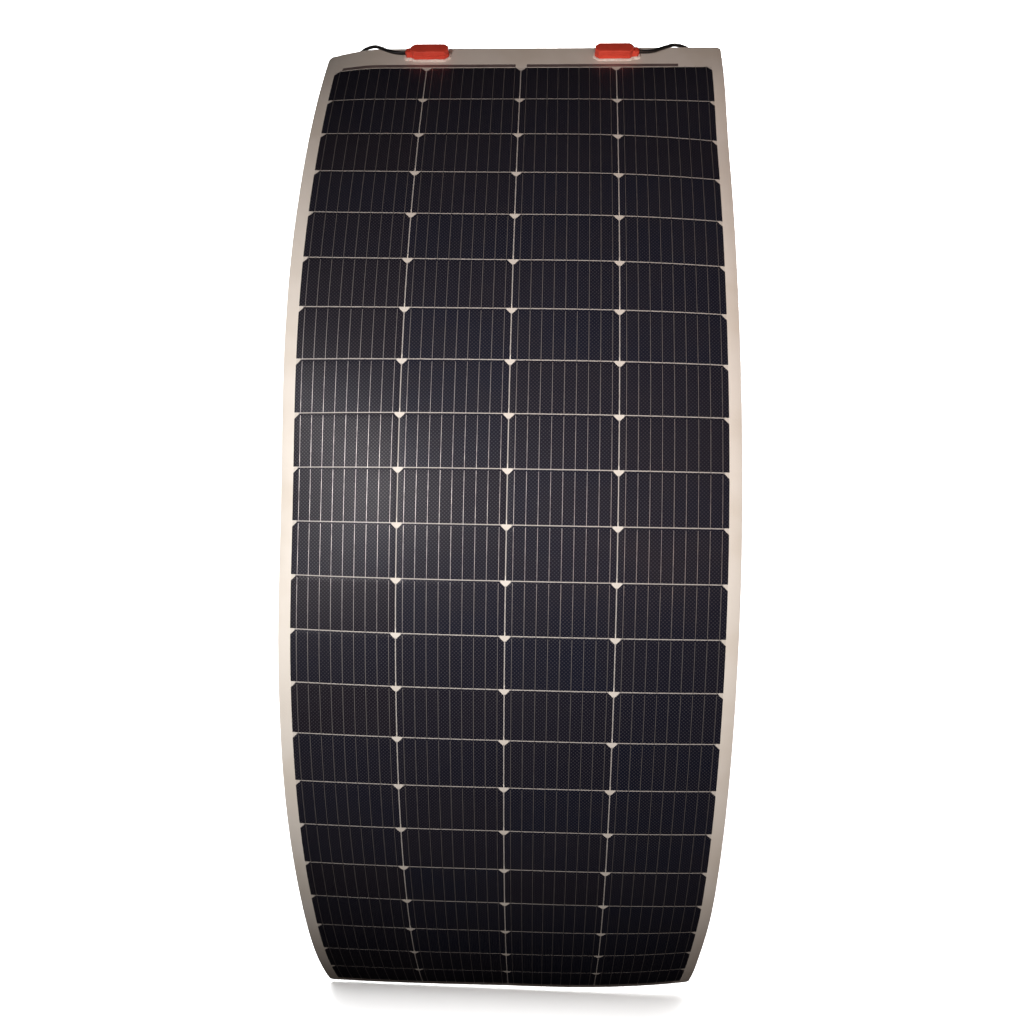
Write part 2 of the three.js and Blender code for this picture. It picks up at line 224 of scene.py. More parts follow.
def hang_on(arch, neighbour, side):
    """Joins an arch to its neighbour's end: side is 1 below the neighbour and -1 above it."""
    arch["tilt"] = neighbour["tilt"] + side * (arch["turn"] + neighbour["turn"]) / 2
    end = turned(*on_arch(neighbour, -side * neighbour["turn"] / 2, THICKNESS / 2), neighbour["tilt"])
    start = turned(*on_arch(arch, side * arch["turn"] / 2, THICKNESS / 2), arch["tilt"])
    arch["y"] = neighbour["y"] + end[0] - start[0]
    arch["z"] = neighbour["z"] + end[1] - start[1]


arches = {row: arch_of(row) for row in range(1, ROWS + 1)}
for row in range(HELD_ROW + 1, ROWS + 1):
    hang_on(arches[row], arches[row - 1], 1)
for row in range(HELD_ROW - 1, 0, -1):
    hang_on(arches[row], arches[row + 1], -1)

# the held row's back is flat in its middle facet, and that flat lies in the plane y = 0
held = arches[HELD_ROW]
SHEET_Y = -on_arch(held, (held["turn"] - HINGE_GAP / held["radius"]) / 2 / FACETS, 0)[0]


def eased(t):
    """From 0 to 1 with a smooth start and end."""
    t = min(max(t, 0), 1)
    return t * t * (3 - 2 * t)


def curl(x, s):
    """How far the sheet curls back at a place, below zero where it stands forward."""
    half = SHEET_WIDTH / 2
    outward = (abs(x) / half) ** EDGE_POWER
    foot = eased((s - FOOT_FROM) / FOOT_FADE)
    if x > 0:
        ease = eased((s - RIGHT_EASE_FROM) / RIGHT_EASE_FADE) - foot
        return outward * (RIGHT_CURL * eased(s / RIGHT_CURL_FADE) - RIGHT_EASE * ease)
    bulge = LEFT_BULGE * math.exp(-(((s - LEFT_BULGE_S) / LEFT_BULGE_SPAN) ** 2))
    edge = LEFT_CURL * eased((s - LEFT_CURL_FROM) / LEFT_CURL_FADE)
    across = max((-x - CORNER_FROM_X) / (half - CORNER_FROM_X), 0)
    down = max(1 - (s + TOP_STRIP) / CORNER_REACH, 0)
    lift = HIGH_LIFT * math.exp(-(((s - HIGH_LIFT_S) / HIGH_LIFT_SPAN) ** 2))
    lift += LOW_LIFT * eased((s - LOW_LIFT_FROM) / LOW_LIFT_FADE) + FOOT_LIFT * foot
    corner = CORNER_CURL * across**CORNER_POWER_ACROSS * down**CORNER_POWER_DOWN
    return (edge + bulge) * outward + corner - lift * (-x / half) ** LIFT_POWER


def on_sheet(x, s, n):
    """The point at x across the sheet, s below the top of the first row, n above the back face."""
    n -= curl(x, s)
    row = min(max(int(s // ROW_PITCH) + 1, 1), ROWS)
    arch = arches[row]
    below = s - (row - 1) * ROW_PITCH
    inside = min(max(below, 0), ROW_PITCH)
    angle = arch["turn"] * (0.5 - inside / ROW_PITCH)
    y, z = on_arch(arch, angle, n)
    dy, dz = turned(0, inside - below, -angle)
    y, z = turned(y + dy, z + dz, arch["tilt"])
    return Vector((x, y + arch["y"] + SHEET_Y, z + arch["z"]))


# stations across the sheet, and down a row, finer where it bends into the next row
ACROSS_STEP = 10 * MM
STATIONS_BESIDE_MIDDLE = 34
X_STATIONS = [i * ACROSS_STEP for i in range(-STATIONS_BESIDE_MIDDLE, STATIONS_BESIDE_MIDDLE + 1)]
CELL_STEPS = round(CELL_WIDTH / ACROSS_STEP)
ROW_STATIONS = [d * MM for d in (0, 1, 2, 4, 9.5, 18, 26, 34, 42.5, 51, 59, 67, 76, 81, 83, 84)]
ALL_STATIONS = [row * ROW_PITCH + d for row in range(ROWS) for d in ROW_STATIONS] + [ROWS * ROW_PITCH]


def stations(start, end):
    """The stations from one place down the sheet to another, both ends included."""
    tiny = 0.05 * MM
    inner = [s for s in ALL_STATIONS if start + tiny < s < end - tiny]
    return [start, *inner, end]


# ---- mesh tools ------------------------------------------------------


class Solids:
    """Closed solids that make up one piece, each vertex with its place on the sheet and a tone."""

    def __init__(self):
        self.points = []
        self.faces = []
        self.spots = []
        self.tones = []

    def add_rings(self, rings, spots=None, tone=0.0, closed=False):
        """A solid lofted through rings of points, capped at both ends or closed on itself."""
        first = len(self.points)
        count = len(rings[0])
        for i, ring in enumerate(rings):
            self.points += ring
            self.spots += spots[i] if spots else ring
            self.tones += [tone] * count
        for i in range(len(rings) if closed else len(rings) - 1):
            here = first + i * count
            there = first + (i + 1) % len(rings) * count
            for j in range(count):
                k = (j + 1) % count
                self.faces.append((here + j, here + k, there + k, there + j))
        if not closed:
            last = first + (len(rings) - 1) * count
            self.faces.append(tuple(reversed(range(first, first + count))))
            self.faces.append(tuple(range(last, last + count)))

    def add_sheet_loft(self, sections, tone=0.0):
        """A solid lofted down the sheet: each section is its place s and its outline in (x, n)."""
        rings = [[on_sheet(x, s, n) for x, n in outline] for s, outline in sections]
        spots = [[Vector((x, s, n)) for x, n in outline] for s, outline in sections]
        self.add_rings(rings, spots, tone)


def make_piece(name, solids, material, body, nodes=(), sharp=35):
    """Makes the object, gives it its material and finish, and lets it ride and replace."""
    mesh = bpy.data.meshes.new(name)
    mesh.from_pydata(solids.points, [], solids.faces)
    place = mesh.attributes.new("sheet_place", "FLOAT_VECTOR", "POINT")
    place.data.foreach_set("vector", [c for spot in solids.spots for c in spot])
    tone = mesh.attributes.new("tone", "FLOAT", "POINT")
    tone.data.foreach_set("value", solids.tones)
    work = bmesh.new()
    work.from_mesh(mesh)
    bmesh.ops.recalc_face_normals(work, faces=work.faces)
    work.to_mesh(mesh)
    work.free()
    mesh.shade_smooth()
    mesh.set_sharp_from_angle(angle=math.radians(sharp))
    mesh.materials.append(material)
    piece = bpy.data.objects.new(name, mesh)
    bpy.context.collection.objects.link(piece)
    if body:
        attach(piece, body)
    if nodes:
        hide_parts(*nodes)
    return piece


def lathe_rings(profile, centre, axis, side_axis, segments, shape=None):
    """Rings about an axis from a profile of (distance along, radius, relief), relief shaping a ring."""
    axis = Vector(axis).normalized()
    u = Vector(side_axis).normalized()
    v = axis.cross(u)
    rings = []
    for along, radius, relief in profile:
        ring = []
        for i in range(segments):
            angle = 2 * math.pi * i / segments
            r = radius - relief * (shape(angle) if shape else 0)
            offset = u * math.cos(angle) + v * math.sin(angle)
            ring.append(Vector(centre) + axis * along + offset * r)
        rings.append(ring)
    return rings


# ---- node tools ------------------------------------------------------


class Nodes:
    """A node material under construction, its shader's fixed values set on the shader itself."""

    def __init__(self, name, **values):
        self.material = bpy.data.materials.new(name)
        self.material.use_nodes = True
        self.tree = self.material.node_tree
        self.shader = self.tree.nodes["Principled BSDF"]
        for socket, value in values.items():
            self.shader.inputs[socket.replace("_", " ")].default_value = value

    def node(self, kind, **properties):
        made = self.tree.nodes.new(kind)
        for key, value in properties.items():
            setattr(made, key, value)
        return made

    def join(self, value, socket):
        """Links a socket, or sets a number, on an input."""
        if isinstance(value, bpy.types.NodeSocket):
            self.tree.links.new(value, socket)
        else:
            socket.default_value = value

    def math(self, operation, *values):
        made = self.node("ShaderNodeMath", operation=operation)
        for value, socket in zip(values, made.inputs):
            self.join(value, socket)
        return made.outputs[0]

    def ramp(self, value, low, high, to_low=0.0, to_high=1.0):
        """A number moved smoothly from one range to another, and held at its ends."""
        made = self.node("ShaderNodeMapRange", interpolation_type="SMOOTHSTEP")
        for key, number in zip(made.inputs[:5], (value, low, high, to_low, to_high)):
            self.join(number, key)
        return made.outputs[0]

    def mix(self, factor, a, b):
        made = self.node("ShaderNodeMix", data_type="RGBA")
        self.join(factor, made.inputs[0])
        self.join(a, made.inputs[6])
        self.join(b, made.inputs[7])
        return made.outputs[2]

    def noise(self, place, scale, detail=3.0, stretch=None):
        """Noise from 0 to 1 with its scale in features per metre, times stretch along each axis."""
        if stretch:
            scaled = self.node("ShaderNodeVectorMath", operation="MULTIPLY")
            self.join(place, scaled.inputs[0])
            self.join(stretch, scaled.inputs[1])
            place = scaled.outputs[0]
        made = self.node("ShaderNodeTexNoise")
        self.join(place, made.inputs["Vector"])
        made.inputs["Scale"].default_value = scale
        made.inputs["Detail"].default_value = detail
        return made.outputs["Fac"]

    def sheet_place(self):
        return self.node("ShaderNodeAttribute", attribute_name="sheet_place").outputs["Vector"]

    def tone(self):
        return self.node("ShaderNodeAttribute", attribute_name="tone").outputs["Fac"]

    def object_place(self):
        return self.node("ShaderNodeTexCoord").outputs["Object"]

    def bump(self, height, strength, distance, normal=None):
        made = self.node("ShaderNodeBump")
        made.inputs["Strength"].default_value = strength
        made.inputs["Distance"].default_value = distance
        self.join(height, made.inputs["Height"])
        if normal:
            self.join(normal, made.inputs["Normal"])
        return made.outputs[0]

    def colour(self, value):
        self.join(value, self.shader.inputs["Base Color"])

    def rough(self, value):
        self.join(value, self.shader.inputs["Roughness"])

    def relief(self, normal, coat=True):
        self.join(normal, self.shader.inputs["Normal"])
        if coat:
            self.join(normal, self.shader.inputs["Coat Normal"])


EMBOSS_PITCH = 5.8 * MM
FINGER_PITCH = 1.5 * MM


def emboss(nodes, place):
    """The front film's embossing, a close diagonal lattice of dimples, as a height from -1 to 1."""
    split = nodes.node("ShaderNodeSeparateXYZ")
    nodes.join(place, split.inputs[0])
    waves = []
    for axis in ("X", "Y"):
        turns = nodes.math("MULTIPLY", split.outputs[axis], 2 * math.pi / EMBOSS_PITCH)
        waves.append(nodes.math("SINE", turns))
    return nodes.math("MULTIPLY", *waves)


# ---- materials -------------------------------------------------------


def from_line(nodes, value, pitch):
    """Distance from the nearest of the lines that repeat at a pitch, one of them through zero."""
    turns = nodes.math("DIVIDE", value, pitch)
    nearest = nodes.math("ROUND", turns)
    return nodes.math("MULTIPLY", nodes.math("ABSOLUTE", nodes.math("SUBTRACT", turns, nearest)), pitch)


def laminate_material():
    nodes = Nodes("laminate_white", Coat_Weight=0.35, Coat_Roughness=0.42, Specular_IOR_Level=0.3)
    place = nodes.sheet_place()
    clean = (0.800, 0.775, 0.745, 1)
    aged = (0.730, 0.690, 0.640, 1)
    soiled = (0.55, 0.50, 0.45, 1)
    # the darker colour painted into the gaps between the cells as shade
    gap_shade_colour = (0.42, 0.405, 0.400, 1)
    cloud = nodes.ramp(nodes.noise(place, 9), 0.40, 0.72)
    speck = nodes.ramp(nodes.noise(place, 420, 2), 0.70, 0.80, 0.0, 0.25)
    split = nodes.node("ShaderNodeSeparateXYZ")
    nodes.join(place, split.inputs[0])
    across = from_line(nodes, split.outputs["X"], COLUMN_PITCH)
    down = from_line(nodes, split.outputs["Y"], ROW_PITCH)
    to_gap = nodes.math("MINIMUM", across, down)
    # painted shade: the gaps between the cells are darkened in the colour, the narrow gaps more than
    # the clipped corners
    gap_shade_mask = nodes.ramp(nodes.math("MAXIMUM", across, down), CELL_CLIP - 2 * MM, CELL_CLIP, 0.35, 1.0)
    middle = ROWS / 2 * ROW_PITCH
    off_centre = nodes.math("ABSOLUTE", split.outputs["X"])
    off_middle = nodes.math("ABSOLUTE", nodes.math("SUBTRACT", split.outputs["Y"], middle))
    for off, half in ((off_centre, FIELD_HALF), (off_middle, middle)):
        gap_shade_mask = nodes.math("MULTIPLY", gap_shade_mask, nodes.ramp(off, half - 1 * MM, half, 1, 0))
    at_front = nodes.ramp(split.outputs["Z"], 0.7 * FILM_TOP, 0.9 * FILM_TOP)
    gap_shade_mask = nodes.math("MULTIPLY", gap_shade_mask, at_front)
    paint = nodes.mix(speck, nodes.mix(cloud, clean, aged), soiled)
    nodes.colour(nodes.mix(gap_shade_mask, paint, gap_shade_colour))
    nodes.rough(nodes.ramp(nodes.noise(place, 60), 0.3, 0.7, 0.48, 0.62))
    # the cells show through the plies as shallow plateaus
    plateau = nodes.ramp(to_gap, 0.5 * MM, 4 * MM)
    soft = nodes.bump(plateau, 0.25, 0.3 * MM)
    nodes.relief(nodes.bump(emboss(nodes, place), 0.30, 0.10 * MM, soft))
    return nodes.material


def cell_material():
    nodes = Nodes("cell_silicon", Coat_Weight=0.12, Coat_Roughness=0.36, Specular_IOR_Level=0.38)
    place = nodes.sheet_place()
    navy = (0.0030, 0.0045, 0.0150, 1)
    brown = (0.0062, 0.0045, 0.0100, 1)
    violet = (0.0080, 0.0072, 0.0135, 1)
    finger_silver_and_glint = (0.080, 0.078, 0.090, 1)
    wafer = nodes.mix(nodes.tone(), navy, brown)
    drift = nodes.ramp(nodes.noise(place, 14), 0.35, 0.70)
    wafer = nodes.mix(nodes.math("MULTIPLY", drift, 0.5), wafer, violet)
    # screen-printed fingers across the wafer
    split = nodes.node("ShaderNodeSeparateXYZ")
    nodes.join(place, split.inputs[0])
    off_finger = from_line(nodes, split.outputs["Y"], FINGER_PITCH)
    finger = nodes.ramp(off_finger, 0.05 * MM, 0.12 * MM, 0.10, 0.0)
    raised = emboss(nodes, place)
    # painted highlight: the raised dots of the embossing are lightened towards the fingers' silver in
    # the colour, as glints
    painted_glint = nodes.ramp(raised, 0.0, 0.9, 0.0, 0.65)
    fingers_and_painted_glints = nodes.math("MAXIMUM", finger, painted_glint)
    nodes.colour(nodes.mix(fingers_and_painted_glints, wafer, finger_silver_and_glint))
    # the embossing shows as a weave of glossier and duller spots
    uneven = nodes.ramp(nodes.noise(place, 90), 0.3, 0.7, -0.03, 0.03)
    nodes.rough(nodes.math("ADD", nodes.ramp(raised, -0.4, 0.5, 0.56, 0.31), uneven))
    nodes.relief(nodes.bump(raised, 0.60, 0.14 * MM))
    return nodes.material


def ribbon_material():
    nodes = Nodes("ribbon_tinned", Metallic=0.85, Coat_Weight=0.25, Coat_Roughness=0.40)
    place = nodes.sheet_place()
    solder = nodes.noise(place, 260, 3, (1, 0.35, 1))
    bright = (0.72, 0.68, 0.67, 1)
    dull = (0.50, 0.46, 0.47, 1)
    nodes.colour(nodes.mix(nodes.ramp(solder, 0.35, 0.70), bright, dull))
    nodes.rough(nodes.ramp(solder, 0.3, 0.7, 0.36, 0.52))
    nodes.relief(nodes.bump(solder, 0.35, 0.10 * MM))
    return nodes.material


def bus_material():
    nodes = Nodes("bus_strip_tinned", Metallic=0.45, Coat_Weight=0.25, Coat_Roughness=0.42)
    place = nodes.sheet_place()
    streak = nodes.noise(place, 120, 3, (0.25, 1, 1))
    bright = (0.300, 0.240, 0.245, 1)
    dull = (0.215, 0.170, 0.178, 1)
    nodes.colour(nodes.mix(nodes.ramp(streak, 0.3, 0.7), bright, dull))
    nodes.rough(nodes.ramp(streak, 0.3, 0.7, 0.42, 0.60))
    nodes.relief(nodes.bump(streak, 0.25, 0.08 * MM))
    return nodes.material


def moulded_material(name, colour, worn, roughness, grain, **values):
    """Moulded plastic: a fine spark-eroded grain, slow colour drift and slightly uneven gloss."""
    nodes = Nodes(name, **values)
    place = nodes.object_place()
    drift = nodes.ramp(nodes.noise(place, 45), 0.35, 0.70)
    fleck = nodes.ramp(nodes.noise(place, 900, 2), 0.62, 0.78, 0.0, 0.35)
    paler = [1.3 * c for c in worn[:3]] + [1]
    nodes.colour(nodes.mix(fleck, nodes.mix(drift, colour, worn), paler))
    nodes.rough(nodes.ramp(nodes.noise(place, 160), 0.3, 0.7, roughness - 0.06, roughness + 0.08))
    fine = nodes.noise(place, grain, 3)
    broad = nodes.bump(nodes.noise(place, 70, 2), 0.15, 0.3 * MM)
    nodes.relief(nodes.bump(fine, 0.25, 0.10 * MM, broad))
    return nodes.material


def sealant_material():
    nodes = Nodes("sealant_silicone", Subsurface_Weight=0.15, Subsurface_Scale=2 * MM)
    nodes.shader.inputs["Subsurface Radius"].default_value = (1.0, 0.6, 0.5)
    place = nodes.object_place()
    smear = nodes.noise(place, 160, 4)
    white = (0.92, 0.86, 0.83, 1)
    rosy = (0.80, 0.68, 0.65, 1)
    nodes.colour(nodes.mix(nodes.ramp(smear, 0.35, 0.7), white, rosy))
    nodes.rough(nodes.ramp(smear, 0.3, 0.7, 0.32, 0.5))
    nodes.relief(nodes.bump(smear, 0.5, 0.6 * MM), coat=False)
    return nodes.material


def cable_material():
    nodes = Nodes("cable_sheath", Specular_IOR_Level=0.4)
    place = nodes.object_place()
    scuff = nodes.ramp(nodes.noise(place, 220, 3, (1, 1, 0.3)), 0.55, 0.80)
    black = (0.0105, 0.0100, 0.0110, 1)
    scuffed = (0.030, 0.028, 0.028, 1)
    nodes.colour(nodes.mix(scuff, black, scuffed))
    nodes.rough(nodes.ramp(scuff, 0.0, 1.0, 0.42, 0.62))
    nodes.relief(nodes.bump(nodes.noise(place, 700, 2), 0.2, 0.12 * MM), coat=False)
    return nodes.material


def contact_material():
    nodes = Nodes("contact_tinned", Metallic=1.0)
    place = nodes.object_place()
    drawn = nodes.noise(place, 500, 3, (1, 1, 0.15))
    bright = (0.62, 0.60, 0.57, 1)
    dull = (0.42, 0.40, 0.38, 1)
    nodes.colour(nodes.mix(nodes.ramp(drawn, 0.3, 0.7), bright, dull))
    nodes.rough(nodes.ramp(drawn, 0.3, 0.7, 0.22, 0.38))
    nodes.relief(nodes.bump(drawn, 0.2, 0.05 * MM), coat=False)
    return nodes.material


laminate_white = laminate_material()
cell_silicon = cell_material()
ribbon_tinned = ribbon_material()
bus_tinned = bus_material()
box_red = moulded_material(
    "box_red_plastic", colour=(0.830, 0.092, 0.058, 1), worn=(0.740, 0.076, 0.048, 1),
    roughness=0.46, grain=1400, Specular_IOR_Level=0.45,
)
connector_black = moulded_material(
    "connector_black_plastic", colour=(0.0130, 0.0130, 0.0145, 1), worn=(0.0190, 0.0180, 0.0190, 1),
    roughness=0.46, grain=1200,
)
seal_rubber = moulded_material(
    "seal_rubber", colour=(0.0085, 0.0085, 0.0090, 1), worn=(0.0150, 0.0145, 0.0145, 1),
    roughness=0.62, grain=900,
)
diode_epoxy = moulded_material(
    "diode_epoxy", colour=(0.0160, 0.0150, 0.0155, 1), worn=(0.0260, 0.0240, 0.0240, 1),
    roughness=0.38, grain=1600,
)
silicone = sealant_material()
cable_black = cable_material()
contact_metal = contact_material()

# ---- leads -----------------------------------------------------------

# The centreline of a lead on the right-hand side, in mm: out of the neck, over the top edge, down
# behind the sheet to its pivot, and on down to the connector.
LEAD_RISE = [
    (208.3, 321.7, 943.4),
    (220.5, 321.8, 943.6),
    (232, 323.5, 945.6),
    (243.5, 328, 950.8),
    (255.5, 334.1, 957.3),
    (267.5, 339.6, 962),
    (280, 343.9, 961.6),
    (291, 347.5, 958),
    (300.5, 350.5, 950.3),
    (306.5, 352.3, 939.1),
    (310.3, 353.2, 925.6),
    (312.3, 353.7, 910.6),
    (313, 353.8, 891.1),
]
LEAD_HANG = [
    (313, 353.8, 888.9),
    (313.5, 354, 860),
    (314.5, 354.5, 820),
    (316, 355.5, 770),
    (317.5, 356.5, 720),
    (318.5, 357.5, 660),
    (318.5, 358, 600),
    (317.5, 358, 540),
    (316, 357.5, 480),
    (314.5, 356.5, 420),
    (313, 355.5, 360),
    (312, 354.5, 300),
    (311.5, 354, 250),
    (311.5, 354, 200),
    (311.5, 354, 142),
]


def side_route(points, side):
    """The route on one side of the sheet, in metres, drawn out along the edge by that side's reach."""
    mouth = points[0][0]
    reach = LEAD_REACH[side]
    return [
        Vector((SIDES[side] * (mouth + (x - mouth) * reach), y, z)) * MM + Vector((0, SHEET_Y, 0))
        for x, y, z in points
    ]


def smooth_route(points, step):
    """A centripetal Catmull-Rom curve through the points, in steps of about the given length."""
    padded = [points[0] * 2 - points[1], *points, points[-1] * 2 - points[-2]]
    route = [points[0]]
    for p0, p1, p2, p3 in zip(padded, padded[1:], padded[2:], padded[3:]):
        t0, t1, t2 = [math.sqrt((b - a).length) for a, b in ((p0, p1), (p1, p2), (p2, p3))]
        start = ((p1 - p0) / t0 - (p2 - p0) / (t0 + t1) + (p2 - p1) / t1) * t1
        end = ((p2 - p1) / t1 - (p3 - p1) / (t1 + t2) + (p3 - p2) / t2) * t1
        count = max(1, round((p2 - p1).length / step))
        for i in range(1, count + 1):
            t = i / count
            route.append(
                p1 * (2 * t**3 - 3 * t**2 + 1) + start * (t**3 - 2 * t**2 + t)
                + p2 * (3 * t**2 - 2 * t**3) + end * (t**3 - t**2)
            )
    return route


def tube_rings(route, radius, sides):
    """Rings round a route, each turned as little as possible from the one before."""
    rings = []
    normal = Vector((0, 0, 1))
    for i, point in enumerate(route):
        tangent = (route[min(i + 1, len(route) - 1)] - route[max(i - 1, 0)]).normalized()
        normal = (normal - tangent * normal.dot(tangent)).normalized()
        binormal = tangent.cross(normal)
        turns = [2 * math.pi * j / sides for j in range(sides)]
        rings.append([point + (normal * math.cos(a) + binormal * math.sin(a)) * radius for a in turns])
    return rings


NUT_FLUTES = 12
SLOT_HALF_DEGREES = 22
SLOT_WALL_DEGREES = 6
LATCH_TAPER = 0.8
DOWN = (0, 0, -1)
ACROSS = (1, 0, 0)
LATHE_SIDES = 48


def flutes(angle):
    """Grip flutes round a gland nut, 0 on a ridge and 1 in a flute."""
    return 0.5 - 0.5 * math.cos(NUT_FLUTES * angle)


def two_slots(angle):
    """Two latch slots on opposite sides, 1 inside a slot and 0 elsewhere."""
    off = abs((angle / math.pi + 0.5) % 1 - 0.5) * 180
    return min(max((SLOT_HALF_DEGREES - off) / SLOT_WALL_DEGREES, 0), 1)


# Profiles from the cable's end down, in mm: distance, radius, and how deep its relief is cut.
NUT_PROFILE = [
    (0.4, 3.4, 0), (0, 3.9, 0), (0, 4.6, 0), (0.5, 5.4, 0), (2.2, 7.4, 0), (3.2, 8.4, 0.1),
    (4.2, 8.9, 0.7), (16.2, 9.2, 0.8), (17.2, 9.3, 0.1), (18.2, 9.4, 0), (19.3, 9.4, 0),
    (19.7, 9.0, 0), (19.7, 6.0, 0),
]
GRIP_PROFILE = [
    (19.9, 6.0, 0), (19.9, 7.5, 0), (20.4, 7.9, 0), (24, 7.9, 0), (24.4, 7.5, 0), (26, 7.5, 0),
    (26.4, 7.9, 0), (29, 7.9, 0), (29.4, 7.5, 0), (31, 7.5, 0), (31.4, 7.9, 0),
]
PLUG_BODY_PROFILE = [
    *GRIP_PROFILE, (40.4, 7.9, 0),
    (41, 7.4, 0), (41.2, 6.4, 0), (42, 6.1, 0), (47, 6.0, 0), (47.3, 5.6, 0), (58.2, 5.4, 0),
    (58.9, 5.0, 0), (59, 4.5, 0), (59, 2.9, 0), (58.4, 2.5, 0), (46, 2.5, 0),
]
SOCKET_BODY_PROFILE = [
    *GRIP_PROFILE, (36.6, 7.9, 0),
    (38, 8.7, 0), (38.6, 9.2, 0), (39.8, 9.2, 0.1), (40.2, 9.2, 1.6), (47.6, 9.2, 1.6),
    (48, 9.2, 0.1), (51.4, 9.2, 0), (52, 8.7, 0), (52, 7.4, 0), (51.4, 6.8, 0), (42.5, 6.7, 0),
]
SEAL_PROFILE = [
    (43.2, 5.9, 0), (43.3, 6.5, 0), (43.8, 6.9, 0), (44.4, 6.9, 0), (44.9, 6.4, 0), (45.4, 6.9, 0),
    (46, 6.9, 0), (46.5, 6.5, 0), (46.6, 5.9, 0),
]
SLEEVE_CONTACT_PROFILE = [
    (45, 2.3, 0), (57.6, 2.3, 0), (58, 2.1, 0), (58, 1.7, 0), (50, 1.7, 0),
]
PIN_CONTACT_PROFILE = [
    (41, 2.0, 0), (44, 2.0, 0), (44.2, 1.5, 0), (49.4, 1.5, 0), (50.4, 1.1, 0), (50.8, 0.5, 0),
]
LATCH_OUT = 6.3 * MM
LATCH_SECTIONS = [
    # distance along, half width, inner and outer stand-off
    (40.6, 2.6, 0.0, 1.5),
    (44, 2.5, 0.4, 1.7),
    (51, 2.3, 0.7, 1.9),
    (53, 2.3, 0.7, 2.9),
    (55.5, 2.0, 0.6, 2.0),
    (57.2, 1.6, 0.5, 1.2),
]


def scaled(profile):
    """A profile in mm as metres."""
    return [tuple(value * MM for value in entry) for entry in profile]


def latch_rings(top, sign):
    """A springy latch arm beside the plug's sleeve, with a barb near its tip."""
    rings = []
    for along, half, inner, outer in scaled(LATCH_SECTIONS):
        narrow = half * LATCH_TAPER
        corners = ((inner, -half), (inner, half), (outer, narrow), (outer, -narrow))
        rings.append([
            top + Vector((sign * (LATCH_OUT + out), width, -along)) for out, width in corners
        ])
    return rings


def make_connector(side, top):
    """The connector on one lead: gland nut, body, contact, and latches or seal. Returns its pieces."""
    body = f"lead_{side}"
    node = f"connector_{side}"

    def turned_piece(name, profile, material, shape=None):
        solids = Solids()
        solids.add_rings(lathe_rings(scaled(profile), top, DOWN, ACROSS, LATHE_SIDES, shape))
        return make_piece(f"{name}_{side}", solids, material, body, [node])

    pieces = [turned_piece("connector_nut", NUT_PROFILE, connector_black, flutes)]
    if side == "left":
        plug = turned_piece("connector_body", PLUG_BODY_PROFILE, connector_black)
        seal = turned_piece("connector_seal", SEAL_PROFILE, seal_rubber)
        contact = turned_piece("contact_sleeve", SLEEVE_CONTACT_PROFILE, contact_metal)
        latches = Solids()
        for sign in (-1, 1):
            latches.add_rings(latch_rings(top, sign))
        name = "connector_latches_left"
        arms = make_piece(name, latches, connector_black, body, [node], sharp=50)
        return pieces + [plug, seal, contact, arms]
    socket = turned_piece("connector_body", SOCKET_BODY_PROFILE, connector_black, two_slots)
    contact = turned_piece("contact_pin", PIN_CONTACT_PROFILE, contact_metal)
    return pieces + [socket, contact]


def make_lead(side):
    """A lead with its connector; its free length hangs from the top edge."""
    points = side_route(LEAD_RISE + LEAD_HANG, side)
    route = smooth_route(points, CABLE_STEP)
    connector = make_connector(side, points[-1] - Vector((0, 0, CONNECTOR_GAP)))
    solids = Solids()
    solids.add_rings(tube_rings(route, CABLE_DIAMETER / 2, CABLE_SIDES))
    nodes = [f"cable_rise_{side}", f"cable_hang_{side}"]
    cable = make_piece(f"cable_{side}", solids, cable_black, None, nodes, sharp=60)
    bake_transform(cable)


for side in SIDES:
    make_lead(side)

# ---- laminate --------------------------------------------------------


def laminate_outline(half_width, inset):
    """Cross-section of the laminate: flat faces and rounded edges, thinned by an inset at its ends."""
    low = inset
    high = FILM_TOP - inset
    # a little less than half of the thickness, so that the two rounded edges never meet
    radius = min(EDGE_ROUND, (high - low) * 0.45)
    edge = half_width - radius
    turns = quarter(EDGE_STEPS)
    upper = [(x, high) for x in (-edge, *X_STATIONS, edge)]
    round_high = high - radius
    round_low = low + radius
    right_top = [(edge + radius * math.sin(a), round_high + radius * math.cos(a)) for a in turns[1:]]
    right_low = [(edge + radius * math.cos(a), round_low - radius * math.sin(a)) for a in turns]
    lower = [(x, low) for x in reversed(X_STATIONS)]
    left_low = [(-edge - radius * math.sin(a), round_low - radius * math.cos(a)) for a in turns]
    left_top = [(-edge - radius * math.cos(a), round_high + radius * math.sin(a)) for a in turns[:-1]]
    return upper + right_top + right_low + lower + left_low + left_top


def end_sections(end, inward, last):
    """Sections from an end of the sheet inwards, round its corners, up to a last station."""
    distances = {CORNER_RADIUS * (1 - math.cos(a)) for a in quarter(CORNER_STEPS)}
    distances |= {EDGE_ROUND * (1 - math.cos(a)) for a in quarter(EDGE_STEPS)}
    sections = []
    for d in sorted(distances):
        corner = max(CORNER_RADIUS - d, 0)
        half = SHEET_WIDTH / 2 - CORNER_RADIUS + math.sqrt(CORNER_RADIUS**2 - corner**2)
        lip = max(EDGE_ROUND - d, 0)
        inset = EDGE_ROUND - math.sqrt(EDGE_ROUND**2 - lip**2)
        sections.append((end + inward * d, laminate_outline(half, inset)))
    start = end + inward * CORNER_RADIUS
    between = sorted((start, last))
    inner = stations(*between)
    inner = inner if inward > 0 else inner[::-1]
    full = laminate_outline(SHEET_WIDTH / 2, 0)
    return sections + [(s, full) for s in inner[1:]]


